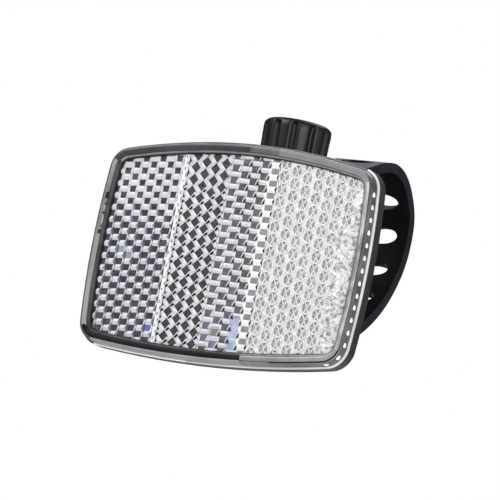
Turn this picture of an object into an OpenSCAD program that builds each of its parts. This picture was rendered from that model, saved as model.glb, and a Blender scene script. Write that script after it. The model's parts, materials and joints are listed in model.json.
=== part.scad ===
// Front reflector for a bicycle handlebar: prismatic lens in a welded housing,
// on a moulded clamp bracket with a slotted strap and a fluted thumb knob.
// Frame: origin on the handlebar axis, X along the bar, +Z up, lens faces -Y.

/* [Reflector] */
// Width of the lens face between its corners
lens_w = 84; // [70:1:100]
// Height of the lens face between its corners
lens_h = 55; // [46:1:64]
// Rise of the arched top edge over its corners
arch_top = 3.8; // [1:0.1:6]
// Drop of the arched bottom edge under its corners
arch_bottom = 2.3; // [0.5:0.1:4]
// Bow of the two sides
bow_side = 1; // [0.4:0.1:2]
// Corner radius of the lens face
corner_r = 5.7; // [3:0.1:8]
// Depth of the clear tray, face to weld flange
tray_d = 3.7; // [3:0.1:5]
// Thickness of the clear front wall, prisms included
lens_t = 2.2; // [1.5:0.1:2.6]
// Depth of the black back cover behind the tray
cover_d = 5.8; // [5:0.1:8]
// Wall of the back cover
cover_t = 1.5; // [1.2:0.1:2.2]

/* [Clamp] */
// Handlebar radius that the saddle pad fits
bar_r = 15.9; // [12.7:0.1:15.9]
// Thickness of the rubber saddle pad
pad_t = 1.6; // [1:0.1:2]
// Half of the angle that the pad wraps round the bar
pad_half = 58; // [54:1:60]
// Width of the bracket along the bar
bracket_w = 24; // [22:1:28]

/* [Strap] */
// Width of the strap
strap_w = 17; // [15:0.5:18]
// Thickness of the strap
strap_t = 2.8; // [2:0.1:3]
// Length of each slot across the strap
slot_l = 10; // [8:0.1:11]
// Width of each slot along the strap
slot_w = 4.8; // [4.6:0.1:5.2]
// Distance from slot to slot along the strap
slot_pitch = 10.75; // [10:0.05:12]

/* [Knob] */
// Largest radius of the knob, over its lobes
knob_r = 9.7; // [8:0.1:10.5]
// Height of the knob
knob_h = 10.2; // [9:0.1:13]
// Number of grip lobes
knob_lobes = 11; // [8:1:14]
// Radius of the knob screw's thread
screw_r = 2; // [2:0.1:2.1]

/* [Hidden] */

$fn = 64;
eps = 0.01;

// handlebar axis behind and above the middle of the lens face
bar_y = 56;
bar_z = 13;
// knob axis behind the lens face
knob_y = 26.2;
// top of the strap seat, then strap, washer and knob stacked on it
seat_z = 29.7;
strap_top = seat_z + strap_t;
washer_z = strap_top + 0.05;
washer_t = 1;
knob_z = washer_z + washer_t + 0.05;
// rear face of the back cover, where the bracket foot sits
cover_y = tray_d + cover_d;
foot_t = 4;
// anchor pin of the strap
pin_y = 37;
pin_z = -10.5;
pin_r = 2;
eye_r = 4.8;
// mounting screw
m5_r = 2.5;

// ---- outline of the reflector, a rectangle with arched sides and round corners
function arc_side(a, b, s, r, n) = [for (i = [0:n]) let(
    t = i / n, d = b - a, l = norm(d), u = d / l, o = [u[1], -u[0]],
    p = a + d * t + o * (4 * s * t * (1 - t)),
    g = u + o * (4 * s * (1 - 2 * t) / l), m = g / norm(g))
    p + [m[1], -m[0]] * r];
function corner(c, a0, a1, r, n) = [for (i = [1:n - 1]) let(
    a = a0 + (a1 - a0) * i / n) c + r * [cos(a), sin(a)]];
function tilt(s, l) = atan(4 * s / l);
function outline(g) = let(
    r = corner_r + g, w = lens_w / 2 - corner_r, h = lens_h / 2 - corner_r,
    tt = tilt(arch_top, 2 * w), tb = tilt(arch_bottom, 2 * w), ts = tilt(bow_side, 2 * h))
    concat(arc_side([w, h], [-w, h], arch_top, r, 16),
           corner([-w, h], 90 + tt, 180 - ts, r, 6),
           arc_side([-w, h], [-w, -h], bow_side, r, 8),
           corner([-w, -h], 180 + ts, 270 - tb, r, 6),
           arc_side([-w, -h], [w, -h], arch_bottom, r, 16),
           corner([w, -h], 270 + tb, 360 - ts, r, 6),
           arc_side([w, -h], [w, h], bow_side, r, 8),
           corner([w, h], ts, 90 - tt, r, 6));

// a slab of the outline grown by g, from y0 to y1 behind the face
module slab(g, y0, y1) {
    translate([0, y1, 0]) rotate([90, 0, 0])
        linear_extrude(y1 - y0) polygon(outline(g));
}

// from face coordinates to the row frame
module place() { translate([0, -bar_y, -bar_z]) children(); }

// profile in Y and Z, extruded along X to a total width w
module along_x(w) {
    translate([-w / 2, 0, 0]) rotate([90, 0, 90]) linear_extrude(w) children();
}

module hex(af, h) { cylinder(r = af / 2 / cos(30), h = h, $fn = 6); }

// ---- clear tray: front wall with its prism bed, flared rim and weld flange
module lens() {
    color([0.86, 0.88, 0.9, 0.6]) place() difference() {
        union() {
            hull() {
                slab(-0.1, 0, 0.05);
                slab(0.3, 0.4, 0.45);
                slab(0.55, tray_d - 0.8, tray_d - 0.75);
            }
            slab(1, tray_d - 0.8, tray_d);
        }
        slab(-2.6, lens_t, tray_d + 1);
    }
}

// ---- back cover, a dished tray welded to the flange, with the screw boss
module back_cover() {
    color([0.05, 0.05, 0.055]) place() difference() {
        union() {
            difference() {
                union() {
                    slab(1, tray_d, cover_y - 2.3);
                    hull() {
                        slab(1, cover_y - 2.35, cover_y - 2.3);
                        slab(-1.8, cover_y - 0.7, cover_y - 0.65);
                        slab(-3.4, cover_y - 0.05, cover_y);
                    }
                }
                hull() {
                    slab(-0.8, tray_d - 1, cover_y - 3.2);
                    slab(-4.6, cover_y - cover_t - 0.05, cover_y - cover_t);
                }
            }
            // boss round the captive screw head
            translate([0, cover_y - 0.5, 0]) rotate([90, 0, 0]) cylinder(r = 7, h = cover_d - 1.1);
            // two pegs that key the bracket
            for (s = [-1, 1]) translate([0, cover_y - 0.5, s * 9.5])
                rotate([-90, 0, 0]) cylinder(r = 1.5, h = 2.5);
        }
        translate([0, cover_y + 1, 0]) rotate([90, 0, 0]) cylinder(r = m5_r + 0.1, h = cover_d + 4);
        translate([0, cover_y - cover_t, 0]) rotate([90, 0, 0]) hex(8.1, 8);
    }
}

// ---- moulded bracket: foot, nut window, knob post, saddle and strap ears
module bracket_profile() {
    difference() {
        polygon([[cover_y + foot_t - 0.5, -12], [cover_y + foot_t - 0.5, 17], [16.4, 21], [16.4, seat_z],
                 [34, seat_z], [38, 29.9], [44, 31.2], [47.4, 31.2], [48.4, 30],
                 [48.4, -4], [47.4, -5.6], [42.2, -7.6], [41.8, -12], [40, -14.6],
                 [37, -15.8], [33, -15.4], [26, -12]]);
        translate([bar_y, bar_z]) circle(r = bar_r + pad_t, $fn = 96);
    }
}

module bracket_body() {
    color([0.07, 0.07, 0.075]) place() difference() {
        union() {
            along_x(bracket_w) bracket_profile();
            // foot plate against the back cover
            translate([-bracket_w / 2 - 1, cover_y, -15]) cube([bracket_w + 2, foot_t, 33]);
        }
        // window for the nut, open on both sides
        translate([-bracket_w, cover_y + foot_t, -7]) cube([2 * bracket_w, 10.5, 14]);
        // mounting hole and the two key holes
        translate([0, cover_y + foot_t + 1, 0]) rotate([90, 0, 0]) cylinder(r = m5_r + 0.1, h = foot_t + 2);
        for (s = [-1, 1]) translate([0, cover_y - 1, s * 9.5])
            rotate([-90, 0, 0]) cylinder(r = 1.55, h = 3.3);
        // seat of the brass insert and the screw's run-out below it
        translate([0, knob_y, seat_z - 8]) cylinder(r = 2.8, h = 9);
        translate([0, knob_y, 10]) cylinder(r = screw_r + 0.5, h = 20);
        // notch for the strap eye, and the pin hole through both ears
        translate([-strap_w / 2 - 0.4, pin_y, pin_z]) rotate([0, 90, 0]) cylinder(r = eye_r + 0.5, h = strap_w + 0.8);
        translate([-strap_w / 2 - 0.4, pin_y, pin_z - 8]) cube([strap_w + 0.8, 8, 8 + eye_r + 0.5]);
        translate([-bracket_w, pin_y, pin_z]) rotate([0, 90, 0]) cylinder(r = pin_r, h = 2 * bracket_w);
    }
}

// ---- rubber pad lining the saddle
module saddle_pad() {
    color([0.1, 0.1, 0.1]) rotate([90, 0, 90]) translate([0, 0, -bracket_w / 2])
        rotate([0, 0, 180 - pad_half])
            rotate_extrude(angle = 2 * pad_half, $fn = 96)
                translate([bar_r, 0]) square([pad_t, bracket_w]);
}

// ---- strap: route of its middle line in Y and Z, from the knob to the anchor
route = [[28, 31.1], [33, 31.1], [40, 32.4], [48, 35], [56, 38.2], [63, 41], [69.4, 42.3], [75.5, 40.7],
         [80.4, 36.4], [83.6, 31], [84.3, 25], [83.6, 18.6], [81.2, 12], [77.3, 5.4],
         [72.4, -0.2], [65.8, -5.6], [58, -10.1], [49.6, -13.1], [42.4, -13.6], [38, -13.9], [34, -13.9]];
function cr(a, b, c, d, t) = 0.5 * (2 * b + (c - a) * t
    + (2 * a - 5 * b + 4 * c - d) * t * t + (3 * b - a - 3 * c + d) * t * t * t);
line_n = 4;
mid = [for (i = [1:len(route) - 3], k = [0:line_n - 1])
    cr(route[i - 1], route[i], route[i + 1], route[i + 2], k / line_n)];
function side(p, i, s) = let(
    a = p[max(i - 1, 0)], b = p[min(i + 1, len(p) - 1)], d = (b - a) / norm(b - a))
    p[i] + [-d[1], d[0]] * s;
// running length, and the point at a given length
steps = [for (i = [1:len(mid) - 1]) norm(mid[i] - mid[i - 1])];
function run(i) = i <= 0 ? 0 : steps[i - 1] + run(i - 1);
runs = [for (i = [0:len(mid) - 1]) run(i)];
function seg(s) = max([for (i = [0:len(mid) - 2]) runs[i] <= s ? i : 0]);
function at(s) = let(i = seg(s), t = (s - runs[i]) / steps[i]) mid[i] + (mid[i + 1] - mid[i]) * t;
function dir(s) = let(i = seg(s), d = mid[i + 1] - mid[i]) atan2(d[1], d[0]);
// the screw has a slot of its own in the tongue; the row starts this far along the loop
row_start = 9.25;
slot_count = floor((runs[len(mid) - 1] - row_start - 14) / slot_pitch);

// an almond slot through the strap, its long axis along X
module slot(h) {
    translate([0, 0, -h / 2]) linear_extrude(h)
        polygon([for (i = [0:35]) [slot_l / 2 * cos(i * 10), slot_w / 2 * sin(i * 10)]]);
}

module strap() {
    n = len(mid) - 1;
    color([0.06, 0.06, 0.065]) place() difference() {
        union() {
            along_x(strap_w) polygon(concat(
                [for (i = [0:n]) side(mid, i, strap_t / 2)],
                [for (i = [n:-1:0]) side(mid, i, -strap_t / 2)]));
            // flat tongue under the knob, with a round end
            translate([0, 0, seat_z]) {
                translate([-strap_w / 2, knob_y - 1, 0]) cube([strap_w, 33 - knob_y + 1 + eps, strap_t]);
                intersection() {
                    translate([0, knob_y, 0]) cylinder(r = strap_w / 2 + 0.5, h = strap_t);
                    translate([-strap_w / 2, knob_y - 10, 0]) cube([strap_w, 10, strap_t]);
                }
            }
            // eye round the anchor pin
            translate([-strap_w / 2, pin_y, pin_z]) rotate([0, 90, 0]) cylinder(r = eye_r, h = strap_w);
        }
        translate([-strap_w, pin_y, pin_z]) rotate([0, 90, 0]) cylinder(r = pin_r + 0.05, h = 2 * strap_w);
        translate([0, knob_y, seat_z + strap_t / 2]) slot(8);
        for (k = [0:slot_count]) let(s = row_start + k * slot_pitch)
            translate([0, at(s)[0], at(s)[1]]) rotate([dir(s), 0, 0]) slot(8);
    }
}

module strap_pin() {
    color([0.72, 0.72, 0.74]) place() translate([-bracket_w / 2, pin_y, pin_z])
        rotate([0, 90, 0]) cylinder(r = pin_r - 0.02, h = bracket_w);
}

// ---- fluted thumb knob with the screw head moulded into its underside
module knob() {
    color([0.06, 0.06, 0.065]) place() translate([0, knob_y, knob_z]) difference() {
        rotate_extrude($fn = 96) polygon([[0, 0], [knob_r - 0.5, 0], [knob_r - 0.3, 0.4],
            [knob_r, knob_h - 1.8], [knob_r - 1.7, knob_h], [0, knob_h]]);
        for (i = [0:knob_lobes - 1]) rotate([0, 0, i * 360 / knob_lobes])
            translate([knob_r + 0.6, 0, -1]) cylinder(r = 1.5, h = knob_h + 0.4, $fn = 32);
        translate([0, 0, -1]) hex(7, 4.2);
        translate([0, 0, knob_h - 0.5]) cylinder(r = knob_r - 4, h = 1);
    }
}

module knob_screw() {
    color([0.75, 0.75, 0.76]) place() translate([0, knob_y, 0]) union() {
        translate([0, 0, knob_z]) hex(7, 3.2);
        translate([0, 0, 17]) cylinder(r = screw_r, h = knob_z - 17 + eps);
    }
}

module knob_washer() {
    color([0.75, 0.75, 0.76]) place() translate([0, knob_y, washer_z]) difference() {
        cylinder(r = 6.6, h = washer_t);
        translate([0, 0, -1]) cylinder(r = screw_r + 0.15, h = 3);
    }
}

module thread_insert() {
    color([0.8, 0.62, 0.3]) place() translate([0, knob_y, seat_z - 8]) difference() {
        cylinder(r = 2.8, h = 8);
        translate([0, 0, -1]) cylinder(r = screw_r + 0.05, h = 10);
    }
}

// ---- screw, washer and nut that hold the bracket to the back cover
module mounting_screw() {
    color([0.75, 0.75, 0.76]) place() union() {
        translate([0, cover_y - cover_t, 0]) rotate([90, 0, 0]) hex(8, 3);
        translate([0, cover_y - cover_t - eps, 0]) rotate([-90, 0, 0]) cylinder(r = m5_r, h = 13);
    }
}

module mounting_washer() {
    color([0.75, 0.75, 0.76]) place() translate([0, cover_y + foot_t, 0]) rotate([-90, 0, 0]) difference() {
        cylinder(r = 5, h = 1);
        translate([0, 0, -1]) cylinder(r = m5_r + 0.15, h = 3);
    }
}

module mounting_nut() {
    color([0.75, 0.75, 0.76]) place() translate([0, cover_y + foot_t + 1, 0]) rotate([-90, 0, 0]) difference() {
        hex(8, 4.5);
        translate([0, 0, -1]) cylinder(r = m5_r + 0.03, h = 7);
    }
}

lens();
back_cover();
bracket_body();
saddle_pad();
strap();
strap_pin();
knob();
knob_screw();
knob_washer();
thread_insert();
mounting_screw();
mounting_washer();
mounting_nut();
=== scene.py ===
import bpy, bmesh, math, json, random
from mathutils import Vector, Matrix
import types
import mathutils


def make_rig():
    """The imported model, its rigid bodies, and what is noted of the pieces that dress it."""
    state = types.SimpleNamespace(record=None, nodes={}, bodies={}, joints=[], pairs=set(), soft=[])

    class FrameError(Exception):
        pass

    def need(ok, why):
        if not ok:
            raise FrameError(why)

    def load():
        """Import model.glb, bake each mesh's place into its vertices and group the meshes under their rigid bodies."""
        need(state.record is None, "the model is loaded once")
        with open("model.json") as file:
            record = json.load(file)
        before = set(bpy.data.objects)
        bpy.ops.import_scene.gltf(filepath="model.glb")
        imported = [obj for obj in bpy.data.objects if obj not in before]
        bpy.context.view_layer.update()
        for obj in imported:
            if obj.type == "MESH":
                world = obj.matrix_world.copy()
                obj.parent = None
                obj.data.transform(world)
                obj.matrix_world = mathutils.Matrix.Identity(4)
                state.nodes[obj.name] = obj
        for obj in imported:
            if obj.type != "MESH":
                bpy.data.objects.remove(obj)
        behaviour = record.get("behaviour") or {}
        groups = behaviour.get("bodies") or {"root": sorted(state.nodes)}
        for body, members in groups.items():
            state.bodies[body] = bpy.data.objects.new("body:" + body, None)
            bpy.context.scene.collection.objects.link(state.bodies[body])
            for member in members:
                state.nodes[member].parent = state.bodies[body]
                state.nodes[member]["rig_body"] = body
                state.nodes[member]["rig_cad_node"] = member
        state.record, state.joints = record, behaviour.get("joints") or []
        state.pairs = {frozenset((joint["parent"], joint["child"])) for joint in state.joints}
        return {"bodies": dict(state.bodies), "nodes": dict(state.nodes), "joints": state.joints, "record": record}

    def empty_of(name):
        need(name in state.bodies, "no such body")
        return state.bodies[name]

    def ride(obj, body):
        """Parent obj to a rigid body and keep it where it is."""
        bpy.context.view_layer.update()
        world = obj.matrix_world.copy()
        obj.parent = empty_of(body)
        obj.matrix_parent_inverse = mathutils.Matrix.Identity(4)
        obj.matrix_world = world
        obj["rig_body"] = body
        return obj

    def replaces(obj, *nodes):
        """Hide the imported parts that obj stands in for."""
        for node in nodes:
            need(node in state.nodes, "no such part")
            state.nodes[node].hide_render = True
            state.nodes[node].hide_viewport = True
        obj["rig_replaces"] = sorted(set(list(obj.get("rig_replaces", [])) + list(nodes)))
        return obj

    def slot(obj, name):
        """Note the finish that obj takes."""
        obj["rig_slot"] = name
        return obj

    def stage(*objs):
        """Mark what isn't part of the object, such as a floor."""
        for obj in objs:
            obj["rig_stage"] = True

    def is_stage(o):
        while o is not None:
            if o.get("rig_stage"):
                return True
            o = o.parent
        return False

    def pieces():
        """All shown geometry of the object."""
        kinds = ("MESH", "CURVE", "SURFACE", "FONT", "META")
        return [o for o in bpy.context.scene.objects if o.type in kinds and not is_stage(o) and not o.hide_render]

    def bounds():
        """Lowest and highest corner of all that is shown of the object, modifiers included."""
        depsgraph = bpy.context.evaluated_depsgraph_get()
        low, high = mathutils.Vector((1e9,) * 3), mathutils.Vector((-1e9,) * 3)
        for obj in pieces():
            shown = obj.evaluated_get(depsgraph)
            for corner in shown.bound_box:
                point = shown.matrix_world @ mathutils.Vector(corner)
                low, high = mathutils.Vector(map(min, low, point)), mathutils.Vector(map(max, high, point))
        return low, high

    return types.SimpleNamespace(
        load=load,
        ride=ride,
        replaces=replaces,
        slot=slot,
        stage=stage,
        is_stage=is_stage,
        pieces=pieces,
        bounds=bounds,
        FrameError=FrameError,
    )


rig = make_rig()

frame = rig.load()


def flat(box):
    return [[float(v) for v in corner] for corner in box]


cad_box = flat(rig.bounds())
MM = 0.001
# face coordinates (mm, origin in the middle of the lens face) to the row frame (m)
BAR_Y, BAR_Z = 56.0, 13.0


def P(x, y, z):
    return Vector((x * MM, (y - BAR_Y) * MM, (z - BAR_Z) * MM))


# ------------------------------------------------------------------ materials
def mat(name, color, rough=0.4, metal=0.0, coat=0.0, coat_rough=0.05, spec=0.5,
        vary=0.0, vary_scale=300.0, rvary=0.0, bump=0.0, bump_scale=900.0, bump_dist=0.0001,
        tint=None, tint_scale=60.0, tint_amount=0.0, stretch=(1, 1, 1), sheen=0.0, emit=0.0):
    """Procedural plastic, rubber or metal: base colour with two sizes of noise, roughness and bump from noise."""
    m = bpy.data.materials.new(name)
    m.use_nodes = True
    nt = m.node_tree
    n = nt.nodes
    n.clear()
    out = n.new("ShaderNodeOutputMaterial")
    b = n.new("ShaderNodeBsdfPrincipled")
    nt.links.new(b.outputs[0], out.inputs[0])
    b.inputs["Metallic"].default_value = metal
    b.inputs["Coat Weight"].default_value = coat
    b.inputs["Coat Roughness"].default_value = coat_rough
    b.inputs["Specular IOR Level"].default_value = spec
    b.inputs["Sheen Weight"].default_value = sheen
    tc = n.new("ShaderNodeTexCoord")
    mp = n.new("ShaderNodeMapping")
    mp.inputs["Scale"].default_value = stretch
    nt.links.new(tc.outputs["Object"], mp.inputs[0])

    def noise(scale, detail=4.0):
        t = n.new("ShaderNodeTexNoise")
        t.inputs["Scale"].default_value = scale
        t.inputs["Detail"].default_value = detail
        nt.links.new(mp.outputs[0], t.inputs["Vector"])
        return t

    def ramp(src, lo, hi, a=0.3, z=0.7):
        r = n.new("ShaderNodeMapRange")
        r.inputs["From Min"].default_value = a
        r.inputs["From Max"].default_value = z
        r.inputs["To Min"].default_value = lo
        r.inputs["To Max"].default_value = hi
        nt.links.new(src, r.inputs["Value"])
        return r.outputs[0]

    def scaled(c, k):
        return tuple(min(1.0, max(0.0, v * k)) for v in c) + (1.0,)

    t1 = noise(vary_scale)
    mix = n.new("ShaderNodeMix")
    mix.data_type = "RGBA"
    mix.inputs[6].default_value = scaled(color, 1 - vary)
    mix.inputs[7].default_value = scaled(color, 1 + vary)
    nt.links.new(ramp(t1.outputs["Fac"], 0.0, 1.0), mix.inputs[0])
    col = mix.outputs[2]
    if tint is not None:
        t2 = noise(tint_scale, 2.0)
        mix2 = n.new("ShaderNodeMix")
        mix2.data_type = "RGBA"
        nt.links.new(ramp(t2.outputs["Fac"], 0.0, tint_amount, 0.45, 0.65), mix2.inputs[0])
        nt.links.new(col, mix2.inputs[6])
        mix2.inputs[7].default_value = tuple(tint) + (1.0,)
        col = mix2.outputs[2]
    nt.links.new(col, b.inputs["Base Color"])
    if emit > 0:
        nt.links.new(col, b.inputs["Emission Color"])
        b.inputs["Emission Strength"].default_value = emit
    t3 = noise(vary_scale * 0.6)
    nt.links.new(ramp(t3.outputs["Fac"], max(0.02, rough - rvary), rough + rvary), b.inputs["Roughness"])
    if bump > 0:
        t4 = noise(bump_scale, 3.0)
        bp = n.new("ShaderNodeBump")
        bp.inputs["Strength"].default_value = bump
        bp.inputs["Distance"].default_value = bump_dist
        nt.links.new(t4.outputs["Fac"], bp.inputs["Height"])
        nt.links.new(bp.outputs[0], b.inputs["Normal"])
    return m


M = {}
# prism bed: moulded relief over a mirror-like back, each facet's brightness painted on as an opaque colour, painted
# reflection and painted shade standing in for what the clear prism moulding shows
M["white"] = mat("prism_white", (0.86, 0.86, 0.885), 0.28, vary=0.08, vary_scale=900, rvary=0.1, spec=0.4,
                 tint=(0.70, 0.69, 0.76), tint_scale=160, tint_amount=0.4, bump=0.25, bump_scale=1400)
M["white2"] = mat("prism_white_soft", (0.78, 0.78, 0.82), 0.3, vary=0.12, vary_scale=700, rvary=0.1, spec=0.4,
                  tint=(0.58, 0.56, 0.64), tint_scale=140, tint_amount=0.4, bump=0.2, bump_scale=1200)
# the pearl facets also glow a little through emission, a painted glow
M["pearl"] = mat("prism_pearl_painted_glow", (0.95, 0.95, 0.955), 0.25, vary=0.05, vary_scale=900, rvary=0.08, spec=0.4,
                 tint=(0.84, 0.84, 0.85), tint_scale=220, tint_amount=0.3, bump=0.25, bump_scale=1300, emit=0.06)
M["dark1"] = mat("prism_dark_a", (0.054, 0.051, 0.064), 0.3, vary=0.45, vary_scale=1000, rvary=0.08, spec=0.25,
                 tint=(0.13, 0.125, 0.165), tint_scale=300, tint_amount=0.5)
M["dark2"] = mat("prism_dark_b", (0.058, 0.056, 0.060), 0.3, vary=0.5, vary_scale=1500, rvary=0.08, spec=0.25,
                 tint=(0.085, 0.08, 0.085), tint_scale=260, tint_amount=0.5)
M["dark3"] = mat("prism_dark_c", (0.112, 0.107, 0.114), 0.3, vary=0.6, vary_scale=1700, rvary=0.08, spec=0.25,
                 tint=(0.20, 0.19, 0.22), tint_scale=230, tint_amount=0.7)
M["mid3"] = mat("prism_mid", (0.27, 0.265, 0.28), 0.3, vary=0.15, vary_scale=800, rvary=0.08, spec=0.3,
                tint=(0.38, 0.37, 0.40), tint_scale=260, tint_amount=0.5)
M["soft4"] = mat("prism_light_grey", (0.78, 0.78, 0.79), 0.3, vary=0.2, vary_scale=1300, rvary=0.08, spec=0.3,
                 tint=(0.98, 0.98, 0.98), tint_scale=420, tint_amount=0.7)
M["curl"] = mat("prism_curl", (0.52, 0.52, 0.525), 0.3, vary=0.2, vary_scale=900, rvary=0.08, spec=0.3)
M["blue_dark"] = mat("prism_blue_dark", (0.045, 0.045, 0.15), 0.3, vary=0.25, vary_scale=700, spec=0.25)
M["blue_mid"] = mat("prism_blue", (0.20, 0.19, 0.47), 0.3, vary=0.25, vary_scale=700, spec=0.25)
M["blue_pale"] = mat("prism_blue_pale", (0.30, 0.36, 0.42), 0.3, vary=0.2, vary_scale=700, spec=0.25)
M["blue_white"] = mat("prism_blue_white", (0.80, 0.83, 0.93), 0.28, vary=0.08, vary_scale=900, spec=0.4,
                      tint=(0.66, 0.68, 0.82), tint_scale=160, tint_amount=0.4, bump=0.25, bump_scale=1400)
M["lav"] = mat("prism_lavender", (0.44, 0.43, 0.62), 0.3, vary=0.25, vary_scale=600, spec=0.3,
               tint=(0.66, 0.66, 0.84), tint_scale=260, tint_amount=0.6)
M["lav_dark"] = mat("prism_lavender_dark", (0.16, 0.155, 0.22), 0.3, vary=0.3, vary_scale=600, spec=0.3,
                    tint=(0.32, 0.31, 0.44), tint_scale=260, tint_amount=0.6)
M["ice"] = mat("prism_ice", (0.58, 0.70, 0.82), 0.3, vary=0.15, vary_scale=600, spec=0.3)
M["amber"] = mat("prism_amber", (0.30, 0.225, 0.175), 0.3, vary=0.2, vary_scale=600, spec=0.3)
M["straw"] = mat("prism_straw", (0.72, 0.72, 0.45), 0.3, vary=0.15, vary_scale=600, spec=0.3)
M["hex"] = mat("prism_hex", (0.29, 0.29, 0.293), 0.3, vary=0.15, vary_scale=900, rvary=0.08, spec=0.3,
               tint=(0.52, 0.52, 0.52), tint_scale=300, tint_amount=0.5)
M["hexl"] = mat("prism_hex_light", (0.42, 0.42, 0.425), 0.3, vary=0.15, vary_scale=900, rvary=0.08, spec=0.3,
                tint=(0.58, 0.58, 0.58), tint_scale=300, tint_amount=0.5)
M["black"] = mat("prism_black", (0.008, 0.0075, 0.009), 0.3, vary=0.3, spec=0.2)
# rim, flange and wall: these shades are painted shade, painted light and painted reflection of the clear plastic over
# the black housing; rim_line and rim_line_soft are painted lines of shade; the bright flange is a painted highlight
M["line"] = mat("rim_line", (0.016, 0.015, 0.016), 0.35, vary=0.5, vary_scale=200, rvary=0.1, spec=0.25)
M["deep"] = mat("rim_painted_deep_shade", (0.007, 0.0065, 0.0075), 0.4, vary=0.5, vary_scale=200, rvary=0.1, spec=0.06,
                tint=(0.02, 0.02, 0.021), tint_scale=130, tint_amount=0.5)
M["line2"] = mat("rim_line_soft", (0.055, 0.053, 0.056), 0.35, vary=0.5, vary_scale=260, rvary=0.1, spec=0.25,
                 tint=(0.02, 0.02, 0.02), tint_scale=150, tint_amount=0.6)
M["rim"] = mat("rim_clear_shade", (0.032, 0.030, 0.034), 0.25, vary=0.35, vary_scale=120, rvary=0.06, spec=0.3,
               tint=(0.055, 0.053, 0.058), tint_scale=90, tint_amount=0.6)
M["rim2"] = mat("rim_clear_shade_b", (0.085, 0.083, 0.088), 0.25, vary=0.3, vary_scale=140, rvary=0.06, spec=0.3,
                tint=(0.065, 0.063, 0.068), tint_scale=90, tint_amount=0.6)
M["riml"] = mat("rim_clear_painted_light", (0.225, 0.22, 0.222), 0.22, vary=0.15, vary_scale=120, rvary=0.06, spec=0.35,
                tint=(0.17, 0.166, 0.166), tint_scale=110, tint_amount=0.6)
M["rimr"] = mat("rim_clear_painted_reflection_streaks", (0.32, 0.315, 0.315), 0.22, vary=0.3, vary_scale=900, rvary=0.06, spec=0.35,
                tint=(0.12, 0.12, 0.12), tint_scale=420, tint_amount=0.75, stretch=(1, 1, 0.35))
M["rimt"] = mat("rim_clear_top_painted_shade", (0.175, 0.170, 0.170), 0.3, vary=0.15, vary_scale=120, rvary=0.06, spec=0.15,
                tint=(0.13, 0.126, 0.124), tint_scale=110, tint_amount=0.6)
M["rimm"] = mat("rim_clear_painted_mid_shade", (0.20, 0.198, 0.20), 0.22, vary=0.25, vary_scale=140, rvary=0.06, spec=0.35,
                tint=(0.10, 0.10, 0.102), tint_scale=120, tint_amount=0.6)
M["bright"] = mat("flange_painted_highlight", (0.64, 0.64, 0.645), 0.2, vary=0.15, vary_scale=120, rvary=0.06, spec=0.5,
                  tint=(0.40, 0.40, 0.40), tint_scale=60, tint_amount=0.55)
M["wall"] = mat("wall_shade", (0.10, 0.098, 0.10), 0.2, vary=0.3, vary_scale=160, rvary=0.06, spec=0.35,
                tint=(0.03, 0.03, 0.03), tint_scale=120, tint_amount=0.6)
# near-white wall facets: painted glints
M["drop"] = mat("wall_facet_painted_glint", (0.85, 0.85, 0.86), 0.15, vary=0.05, coat=0.5)
M["cover"] = mat("cover_black", (0.030, 0.029, 0.0315), 0.38, vary=0.2, vary_scale=250, rvary=0.08, spec=0.3,
                 bump=0.12, bump_scale=1600)
M["bracket"] = mat("bracket_black", (0.012, 0.012, 0.013), 0.46, vary=0.2, vary_scale=250, rvary=0.08, spec=0.35,
                   bump=0.3, bump_scale=2600, bump_dist=0.00006)
M["pad"] = mat("pad_rubber_black", (0.014, 0.014, 0.0145), 0.75, vary=0.25, vary_scale=500, rvary=0.1, spec=0.3,
               bump=0.5, bump_scale=2200, sheen=0.1)
M["strap"] = mat("strap_black", (0.0040, 0.0039, 0.0046), 0.6, vary=0.25, vary_scale=220, rvary=0.08, spec=0.03,
                 bump=0.15, bump_scale=1500)
# paler copy of the strap's black for its sides: painted sheen
M["strap_edge"] = mat("strap_black_edge_painted_sheen", (0.013, 0.0125, 0.0185), 0.42, vary=0.25, vary_scale=220, rvary=0.08, spec=0.25,
                      bump=0.15, bump_scale=1500)


def sheen(m, color, spec):
    """Painted sheen: the upward faces high on the strap are mixed toward a paler blue-grey and given more gloss,
    standing in for light falling on the top.
    """
    nt = m.node_tree
    n, link = nt.nodes, nt.links
    b = next(q for q in n if q.type == "BSDF_PRINCIPLED")
    geo = n.new("ShaderNodeNewGeometry")
    parts = []
    for out, lo, hi in (("Normal", 0.35, 0.95), ("Position", 0.015, 0.021)):
        sep = n.new("ShaderNodeSeparateXYZ")
        link.new(geo.outputs[out], sep.inputs[0])
        mr = n.new("ShaderNodeMapRange")
        mr.interpolation_type = "SMOOTHSTEP"
        mr.inputs["From Min"].default_value, mr.inputs["From Max"].default_value = lo, hi
        link.new(sep.outputs["Z"], mr.inputs["Value"])
        parts.append(mr.outputs[0])
    painted_sheen_mask = n.new("ShaderNodeMath")
    painted_sheen_mask.operation = "MULTIPLY"
    link.new(parts[0], painted_sheen_mask.inputs[0])
    link.new(parts[1], painted_sheen_mask.inputs[1])
    mix = n.new("ShaderNodeMix")
    mix.data_type = "RGBA"
    link.new(painted_sheen_mask.outputs[0], mix.inputs[0])
    link.new(b.inputs["Base Color"].links[0].from_socket, mix.inputs[6])
    mix.inputs[7].default_value = tuple(color) + (1.0,)
    link.new(mix.outputs[2], b.inputs["Base Color"])
    sp = n.new("ShaderNodeMapRange")
    sp.inputs["To Min"].default_value = b.inputs["Specular IOR Level"].default_value
    sp.inputs["To Max"].default_value = spec
    link.new(painted_sheen_mask.outputs[0], sp.inputs["Value"])
    link.new(sp.outputs[0], b.inputs["Specular IOR Level"])


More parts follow.
